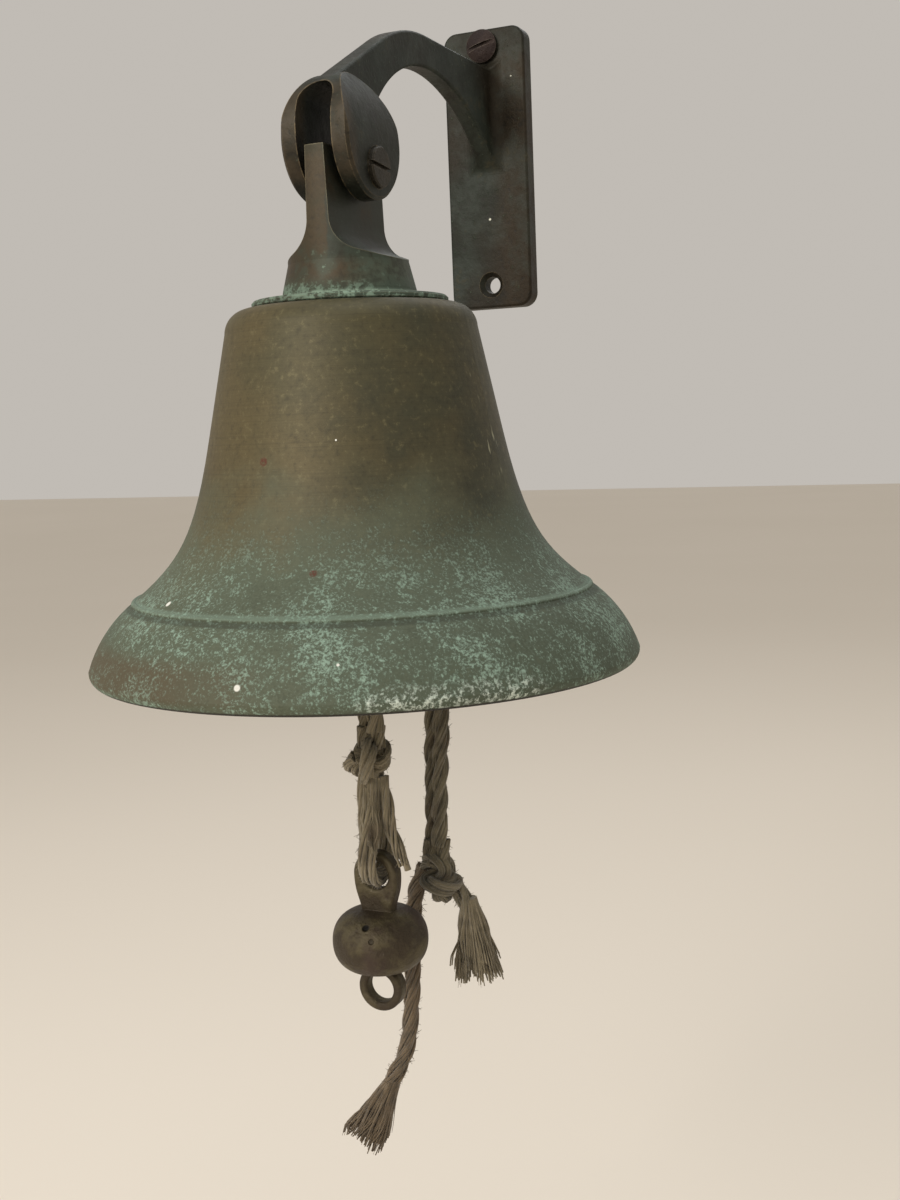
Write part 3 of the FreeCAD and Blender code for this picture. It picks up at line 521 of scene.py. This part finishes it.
# %% A finish
class Finish:
    """A material whose graph is built node by node."""

    def __init__(self, name):
        self.material = bpy.data.materials.new(name)
        self.material.use_nodes = True
        self.tree = self.material.node_tree
        self.shader = self.tree.nodes["Principled BSDF"]
        self.shader.inputs["Specular IOR Level"].default_value = 0.35
        self.place = self.node("ShaderNodeTexCoord", out="Object")

    def node(self, kind, settings=(), sockets=(), out=0):
        """Add a node: its settings first, then the values or wires of its sockets."""
        made = self.tree.nodes.new(kind)
        for key, value in dict(settings).items():
            setattr(made, key, value)
        for key, value in dict(sockets).items():
            self.plug(made.inputs[key], value)
        return Wire(self, made.outputs[out])

    def plug(self, socket, value):
        if isinstance(value, Wire):
            self.tree.links.new(value.socket, socket)
        else:
            socket.default_value = value

    def math(self, operation, a, b):
        return self.node("ShaderNodeMath", {"operation": operation}, {0: a, 1: b})

    def axis(self, letter):
        """One Object coordinate, in millimetres."""
        return self.node("ShaderNodeSeparateXYZ", (), {0: self.place}, letter) * 1000.0

    def stretched(self, x, y, z):
        """The Object coordinates, stretched along each axis."""
        return self.node("ShaderNodeMapping", (), {"Vector": self.place, "Scale": (x, y, z)})

    def noise(self, scale, detail=4.0, roughness=0.55, where=None):
        sockets = {"Scale": scale, "Detail": detail, "Roughness": roughness, "Vector": where or self.place}
        return self.node("ShaderNodeTexNoise", (), sockets)

    def step(self, value, low, high):
        """0 below low, 1 above high, and a smooth rise between them. High may be the smaller one."""
        settings = {"interpolation_type": "SMOOTHSTEP"}
        if low < high:
            return self.node("ShaderNodeMapRange", settings, {0: value, 1: low, 2: high})
        return 1 - self.node("ShaderNodeMapRange", settings, {0: value, 1: high, 2: low})

    def mix(self, share, a, b):
        """From colour a to colour b by share."""
        return self.node("ShaderNodeMix", {"data_type": "RGBA"}, {0: share, 6: a, 7: b}, 2)

    def spot(self, x, y, z, radius):
        """1 inside a small ball at a point in millimetres, 0 outside it."""
        centre = (x * MM, y * MM, z * MM)
        sockets = {0: self.place, 1: centre}
        distance = self.node("ShaderNodeVectorMath", {"operation": "DISTANCE"}, sockets, "Value")
        return self.step(distance * 1000.0, radius, radius * 0.6)

    def edges(self, radius):
        """1 on the worn edges of a hard piece, 0 on its flat faces."""
        rounded = self.node("ShaderNodeBevel", {"samples": 6}, {"Radius": radius})
        flat = self.node("ShaderNodeNewGeometry", out="Normal")
        sockets = {0: rounded, 1: flat}
        facing = self.node("ShaderNodeVectorMath", {"operation": "DOT_PRODUCT"}, sockets, "Value")
        return self.step(facing, 0.985, 0.86)

    def bump(self, height, strength, distance):
        normal = self.node(
            "ShaderNodeBump", (), {"Height": height, "Strength": strength, "Distance": distance}, "Normal"
        )
        self.plug(self.shader.inputs["Normal"], normal)

    def finish(self, colour, roughness, metallic=0.0):
        self.plug(self.shader.inputs["Base Color"], colour)
        self.plug(self.shader.inputs["Roughness"], roughness)
        self.plug(self.shader.inputs["Metallic"], metallic)
        return self.material


def shade(red, green, blue):
    """A colour given as screen values from 0 to 255."""
    return (*[((value / 255 + 0.055) / 1.055) ** 2.4 for value in (red, green, blue)], 1)


def dress(node, material):
    """Give an engineering piece its finish."""
    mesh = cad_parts[node].data
    mesh.materials.clear()
    mesh.materials.append(material)
    print(node, "wears", material.name)


# %% [markdown]
# ## Old bronze
# Bronze left in sea air browns first, then turns green where salt water dries on it. On this bell
# the crown and waist are still olive brown with fine lines from the lathe; the green starts below
# the waist and grows to a dense pale speckle on the flare and lip, where drops gather. Hands and
# sleeves keep a band low on the lip brown. Most of it is a set of masks over height and noise, laid
# on in the order in which the layers formed. Some of it is painted light: painted shade darkens the
# right half of the bell, and the bead has a painted shade band under it and a painted highlight
# along its top.

# %% The bell's patina
def bell_patina():
    finish = Finish("bell_patina")
    lip_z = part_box("bell_shell")[0][2] / MM
    height = finish.axis("Z") - lip_z
    side = finish.axis("X")
    front = finish.axis("Y") - axis_y
    broad = finish.noise(22.0, 3.0)
    cloud = finish.noise(70.0, 5.0, 0.6)
    grain = finish.noise(560.0, 6.0, 0.72)
    speck = finish.noise(1500.0, 4.0, 0.7)
    lathe = finish.noise(1.0, 5.0, 0.75, finish.stretched(6.0, 6.0, 1700.0))

    tan = finish.mix(finish.step(broad, 0.4, 0.62), shade(78, 73, 50), shade(90, 80, 53))
    # The side term is painted shade: the right half of the bell, away from the lamps, is mixed to a darker
    # dull olive. The cloud term adds a random change of brown tone.
    brown = finish.mix(finish.step(cloud * 0.5 + side * 0.006 + 0.1, 0.3, 0.75), tan, shade(58, 60, 47))
    brown = finish.mix(finish.step(lathe, 0.42, 0.75) * 0.3, brown, shade(50, 45, 31))
    brown = finish.mix(finish.step(grain, 0.5, 0.72) * 0.5, brown, shade(52, 48, 35))
    brown = finish.mix(finish.step(grain, 0.46, 0.3) * 0.3, brown, shade(128, 120, 86))

    film = finish.step(height + (cloud - 0.5) * 46.0 + (broad - 0.5) * 26.0, 62.0, 24.0)
    colour = finish.mix(film * 0.75, brown, shade(82, 93, 78))
    crumbs = finish.step(grain * 0.4 + speck * 0.6 + film * 0.06 + (cloud - 0.5) * 0.34, 0.54, 0.69)
    low = finish.step(height + (cloud - 0.5) * 20.0, 50.0, 12.0)
    colour = finish.mix(crumbs * (film * 0.6 + low * 0.3), colour, shade(142, 166, 150))
    dark = finish.step(speck * 0.5 + cloud * 0.5, 0.44, 0.36)
    colour = finish.mix(dark * low * 0.5, colour, shade(58, 64, 50))

    rubbed_height = finish.step(height, 14.0, 8.5) * finish.step(height, 1.0, 3.0)
    rubbed = rubbed_height * finish.step(side * -1.0 + (cloud - 0.5) * 60.0, -22.0, 18.0)
    colour = finish.mix(rubbed * (1 - crumbs * 0.5) * 0.7, colour, shade(82, 69, 50))

    angle = side * 0.69 - front * 0.724
    crust_place = finish.step(angle, 71.6, 73.4) * finish.step(height, 7.5, 2.5)
    crust = crust_place * finish.step(grain + speck * 0.5, 0.72, 0.9)
    colour = finish.mix(crust, colour, shade(206, 216, 204))

    rust = finish.spot(-4.9, -148.0, -90.7, 1.4) + finish.spot(13.3, -157.9, -117.5, 1.3)
    colour = finish.mix(rust * finish.step(speck, 0.36, 0.56) * 0.9, colour, shade(84, 38, 24))
    paint = finish.spot(5.0, -181.4, -141.8, 1.0) + finish.spot(-27.9, -160.3, -125.4, 1.0)
    paint = paint + finish.spot(27.5, -173.3, -137.0, 0.45) + finish.spot(14.2, -144.8, -85.9, 0.3)
    colour = finish.mix(paint, colour, shade(222, 222, 214))
    scratch_line = finish.step(finish.noise(520.0, 2.0, 0.5, finish.stretched(1.0, 1.0, 0.22)), 0.6, 0.68)
    scratch = scratch_line * (finish.spot(37.5, -113.9, -74.5, 6.0) + finish.spot(41.1, -110.5, -90.2, 8.0))
    colour = finish.mix(scratch * 0.8, colour, shade(160, 158, 132))
    # Painted shade in a dark band just under the bead, and a painted highlight in a pale band along its
    # top.
    bead_painted_shade = finish.step(height, 18.9, 19.5) * finish.step(height, 20.7, 20.1)
    bead_painted_highlight = finish.step(height, 20.7, 21.1) * finish.step(height, 22.2, 21.6)
    colour = finish.mix(bead_painted_shade * 0.5, colour, shade(46, 50, 40))
    colour = finish.mix(bead_painted_highlight * 0.35, colour, shade(128, 150, 134))
    edge = finish.step(height, 1.1, 0.5)
    colour = finish.mix(edge, colour, shade(34, 30, 22))

    powder = crumbs * film
    roughness = 0.5 + film * 0.18 + powder * 0.14 + grain * 0.1
    metallic = (1 - film * 0.8) * 0.34 - powder * 0.2 - crust * 0.4
    finish.bump(powder * 0.5 + grain * 0.35 + lathe * 0.22 + crust * 1.5, 0.5, 0.35 * MM)
    return finish.finish(colour, roughness, finish.step(metallic, 0.0, 1.0))


dress("bell_shell", bell_patina())

# %% [markdown]
# ## The hanger and the bracket
# The hanger was turned and milled from a bar, so its faces are smooth and tan, with green only
# where water stands on the boss and the flange. Its tang's right face carries painted shade in a
# dark grey-green, and a thin painted shadow lies under its flange. The bracket is a casting: darker,
# duller, with a green-grey bloom, and worn brown on the edges that hands and the bell touch. The
# Bevel node finds those edges, which the mesh itself doesn't store.

# %% The hanger's finish
def hanger_patina():
    finish = Finish("hanger_patina")
    foot_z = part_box("crown_hanger")[0][2] / MM
    height = finish.axis("Z") - foot_z
    side = finish.axis("X")
    cloud = finish.noise(110.0, 5.0, 0.6)
    grain = finish.noise(520.0, 5.0, 0.65)
    speck = finish.noise(1000.0, 3.0)
    tan = finish.mix(finish.step(cloud, 0.4, 0.66), shade(66, 56, 39), shade(54, 50, 35))
    # Painted shade: the tang's right face, turned away from the lamps, is mixed to a darker grey-green.
    grey = finish.step(side + (cloud - 0.5) * 3.0, 2.2, 3.1) * finish.step(height, 9.0, 13.0)
    colour = finish.mix(grey * 0.8, tan, shade(45, 51, 44))
    flank = finish.step(side + (cloud - 0.5) * 8.0, 5.0, 13.0) * finish.step(height, 15.0, 8.0)
    colour = finish.mix(flank * 0.45, colour, shade(84, 104, 92))
    film = finish.step(height + (cloud - 0.5) * 9.0 + side * 0.12, 7.6, 2.2)
    crumbs = finish.step(grain * 0.6 + speck * 0.4 + film * 0.12, 0.56, 0.66)
    colour = finish.mix(film * 0.6, colour, shade(74, 90, 76))
    patches = finish.step(cloud + side * 0.005, 0.46, 0.62) * finish.step(height, 26.0, 8.0)
    colour = finish.mix(patches * 0.3, colour, shade(74, 88, 76))
    colour = finish.mix(crumbs * (film * 0.5 + patches * 0.4), colour, shade(132, 156, 138))
    ring = finish.step(height, 1.9, 2.1) * finish.step(height, 3.6, 2.4)
    colour = finish.mix(ring * 0.5, colour, shade(150, 172, 152))
    colour = finish.mix(finish.edges(0.5 * MM) * 0.5, colour, shade(136, 128, 102))
    # Painted shadow: a thin near-black band at the foot of the flange, where it sits on the bell.
    under = finish.step(height, 0.5, 0.15)
    colour = finish.mix(under, colour, shade(40, 40, 32))
    stain = finish.step(grain * 0.5 + cloud * 0.5, 0.5, 0.38)
    colour = finish.mix(stain * 0.45, colour, shade(36, 33, 24))
    finish.bump(grain * 0.5 + crumbs * film, 0.5, 0.3 * MM)
    return finish.finish(colour, 0.44 + film * 0.25 + grain * 0.16, (1 - film) * 0.3)


dress("crown_hanger", hanger_patina())


# %% The bracket's finish
def bracket_patina():
    finish = Finish("bracket_patina")
    side = finish.axis("X")
    depth = finish.axis("Y")
    height = finish.axis("Z")
    broad = finish.noise(26.0, 3.0)
    cloud = finish.noise(90.0, 5.0, 0.6)
    grain = finish.noise(480.0, 5.0, 0.65)
    speck = finish.noise(1100.0, 3.0)
    colour = finish.mix(finish.step(broad, 0.38, 0.62), shade(37, 32, 22), shade(32, 36, 28))
    plate = finish.step(depth, -14.0, -6.5)
    warm = plate * finish.step(side + (cloud - 0.5) * 14.0, -1.0, 7.0) * finish.step(height, 44.0, 30.0)
    colour = finish.mix(warm * 0.75, colour, shade(50, 40, 26))
    bloom = finish.step(cloud + broad * 0.4, 0.62, 0.84)
    colour = finish.mix(bloom * 0.5, colour, shade(43, 51, 43))
    web = finish.step(depth, -12.0, -22.0) * finish.step(side, 1.5, 2.6)
    colour = finish.mix(web * 0.45, colour, shade(38, 47, 41))
    fork = finish.step(depth, -88.0, -96.0)
    worn_front = fork * finish.step(depth, -116.0, -121.0) * finish.step(cloud, 0.3, 0.55)
    colour = finish.mix(worn_front * 0.6, colour, shade(70, 57, 41))
    dirt = finish.step(grain * 0.6 + cloud * 0.4, 0.48, 0.36)
    colour = finish.mix(dirt * 0.7, colour, shade(24, 22, 16))
    rub = finish.step(grain * 0.5 + cloud * 0.5, 0.54, 0.66)
    colour = finish.mix(rub * 0.4, colour, shade(72, 64, 44))
    crumbs = finish.step(speck * 0.5 + grain * 0.5, 0.6, 0.68)
    colour = finish.mix(crumbs * 0.3, colour, shade(104, 120, 104))
    edge = finish.edges(0.7 * MM)
    colour = finish.mix(edge * finish.step(grain, 0.34, 0.6) * 0.75, colour, shade(128, 112, 84))
    paint = finish.spot(0.4, -6.0, -16.0, 0.5) + finish.spot(9.5, -6.0, 29.0, 0.28)
    colour = finish.mix(paint, colour, shade(196, 196, 182))
    finish.bump(grain * 0.7 + crumbs * 0.4 + cloud * 0.7, 0.6, 0.4 * MM)
    return finish.finish(colour, 0.4 + grain * 0.28, 0.42 - bloom * 0.2)


dress("wall_bracket", bracket_patina())

# %% [markdown]
# ## Iron and screws
# The clapper is an iron casting with a rough, lumpy skin under old oil: near black, olive where it
# is dry and purplish where it rusts. The screws are darker still, with bright metal only along the
# edges of their slots.

# %% Dark iron
def dark_iron(name, base, dry, rust, lumps):
    finish = Finish(name)
    cloud = finish.noise(120.0, 5.0, 0.6)
    other = finish.noise(60.0, 3.0, 0.5, finish.stretched(1.0, 1.4, 0.8))
    grain = finish.noise(620.0, 5.0, 0.7)
    colour = finish.mix(finish.step(cloud, 0.42, 0.62), base, dry)
    colour = finish.mix(finish.step(other, 0.5, 0.68) * 0.8, colour, rust)
    colour = finish.mix(finish.step(grain, 0.6, 0.75) * 0.35, colour, shade(118, 112, 100))
    edge = finish.edges(0.4 * MM)
    colour = finish.mix(edge * finish.step(grain, 0.35, 0.6) * 0.5, colour, shade(138, 128, 116))
    pit = finish.spot(1.1, -117.5, -222.6, 1.3) + finish.spot(3.6, -119.5, -225.4, 0.9) * 0.5
    colour = finish.mix(pit, colour, shade(16, 13, 10))
    finish.bump(cloud * lumps + grain * 0.8 - pit * 3.0, 0.8, 0.6 * MM)
    return finish.finish(colour, 0.42 + grain * 0.25, 0.35)


dress("clapper", dark_iron("clapper_iron", shade(62, 53, 40), shade(86, 78, 57), shade(66, 52, 48), 3.4))
staple_iron = dark_iron("staple_iron", shade(66, 56, 46), shade(80, 70, 56), shade(92, 62, 46), 0.6)
dress("clapper_staple", staple_iron)
screw_brown = dark_iron("screw_brown", shade(38, 27, 24), shade(46, 33, 28), shade(32, 24, 23), 0.6)
dress("wall_screw", screw_brown)
dress("pivot_screw", dark_iron("pivot_brown", shade(46, 42, 33), shade(54, 49, 38), shade(42, 37, 32), 0.6))


# %% Dull brass inside the crown
def dull_brass():
    finish = Finish("dull_brass")
    cloud = finish.noise(150.0, 4.0)
    grain = finish.noise(700.0, 4.0, 0.65)
    colour = finish.mix(finish.step(cloud, 0.4, 0.65), shade(132, 112, 70), shade(96, 92, 66))
    colour = finish.mix(finish.step(grain, 0.55, 0.7) * 0.4, colour, shade(120, 138, 118))
    finish.bump(grain, 0.3, 0.2 * MM)
    return finish.finish(colour, 0.45 + grain * 0.2, 0.6)


brass = dull_brass()
dress("crown_washer", brass)
dress("crown_nut", brass)

# %% [markdown]
# ## Weathered cord
# The cord was pale once. Dirt sits in the lay and on the side that faces the weather, so it is
# blotched brown and grey-green with pale fibre ends. Streaks follow each yarn: the yarns' own UV
# map runs round and along them, so a noise stretched along it looks like fibre. Sheen gives the
# soft rim light of loose fibre.

# %% The cord's finish
def cord_finish(name, pale, mid, dirty, along):
    finish = Finish(name)
    turns = finish.node("ShaderNodeUVMap", {"uv_map": "UVMap"})
    fibre_map = finish.node("ShaderNodeMapping", (), {"Vector": turns, "Scale": (5.0, along, 1.0)})
    fibre = finish.noise(3.0, 4.0, 0.65, fibre_map)
    blotch = finish.noise(75.0, 4.0, 0.6)
    patch = finish.noise(240.0, 4.0, 0.6)
    colour = finish.mix(finish.step(fibre, 0.36, 0.66), mid, pale)
    colour = finish.mix(finish.step(patch * 0.6 + blotch * 0.4, 0.44, 0.62) * 0.75, colour, dirty)
    colour = finish.mix(finish.step(blotch, 0.56, 0.72) * 0.45, colour, shade(112, 92, 70))
    finish.shader.inputs["Sheen Weight"].default_value = 0.35
    finish.shader.inputs["Sheen Roughness"].default_value = 0.6
    finish.bump(fibre + patch * 0.4, 0.6, 0.25 * MM)
    return finish.finish(colour, 0.95)


cord_cloth = cord_finish("weathered_cord", shade(130, 120, 96), shade(100, 92, 70), shade(76, 69, 51), 30.0)
brush_cloth = cord_finish("frayed_cord", shade(148, 136, 110), shade(116, 105, 81), shade(92, 82, 60), 30.0)
brown_cloth = cord_finish("browned_cord", shade(124, 106, 80), shade(98, 82, 60), shade(74, 63, 46), 30.0)
for piece in (lanyard_fall, lanyard_tail, lanyard_knot, lanyard_core, clapper_hitch, lanyard_hitch):
    piece.data.materials.append(cord_cloth)
for piece in (clapper_fall, clapper_knot, clapper_core, loop, tail, tail_tassel, loop_fray):
    piece.data.materials.append(brush_cloth)
for piece in (lanyard_end, end_tassel):
    piece.data.materials.append(brown_cloth)

# %% [markdown]
# ## Floor and light
# A pale floor well below the ropes and soft lamps from the left keep the bell's right side in
# gentle shade, as a window beside it would. The big lamp shapes the curve of the bell, a weaker one
# opens the shadows, and the pale surroundings fill the rest.

# %% Floor
floor_builder = bmesh.new()
bmesh.ops.create_grid(floor_builder, x_segments=1, y_segments=1, size=6.0)
bmesh.ops.translate(floor_builder, vec=(0, 0, -0.42), verts=floor_builder.verts)
floor_mesh = bpy.data.meshes.new("floor")
floor_builder.to_mesh(floor_mesh)
floor_builder.free()
floor = bpy.data.objects.new("floor", floor_mesh)
bpy.context.scene.collection.objects.link(floor)
floor_finish = Finish("pale_floor")
floor_tone = floor_finish.mix(floor_finish.noise(1.2, 2.0), shade(232, 224, 211), shade(238, 230, 218))
floor_mesh.materials.append(floor_finish.finish(floor_tone, 0.9))
print("floor at %.0f mm" % (floor_mesh.vertices[0].co.z / MM))


# %% Lamps
def lamp(name, place, aim, size, power, colour):
    data = bpy.data.lights.new(name, "AREA")
    data.shape = "DISK"
    data.size = size
    data.energy = power
    data.color = colour
    holder = bpy.data.objects.new(name, data)
    bpy.context.scene.collection.objects.link(holder)
    holder.location = place
    holder.rotation_euler = (Vector(aim) - Vector(place)).to_track_quat("-Z", "Y").to_euler()


lamp("window", (-0.3, -1.15, 0.4), (0, -0.1, -0.1), 0.6, 9.0, (1.0, 0.95, 0.88))
lamp("side", (-0.95, -0.45, 0.1), (0, -0.1, -0.1), 0.6, 0.3, (1.0, 0.96, 0.9))
lamp("back", (-0.1, 0.85, 0.75), (0, -0.1, -0.1), 0.7, 2.2, (0.96, 0.97, 1.0))
lamp("top", (0.1, -0.2, 0.9), (0, -0.1, 0), 0.6, 2.5, (0.95, 0.98, 1.0))
world = bpy.data.worlds.new("pale_room")
world.use_nodes = True
world.node_tree.nodes["Background"].inputs["Color"].default_value = shade(226, 220, 212)
world.node_tree.nodes["Background"].inputs["Strength"].default_value = 0.7
bpy.context.scene.world = world
bpy.context.scene.view_settings.view_transform = "Standard"
print("lamps:", [light.name for light in bpy.data.lights])
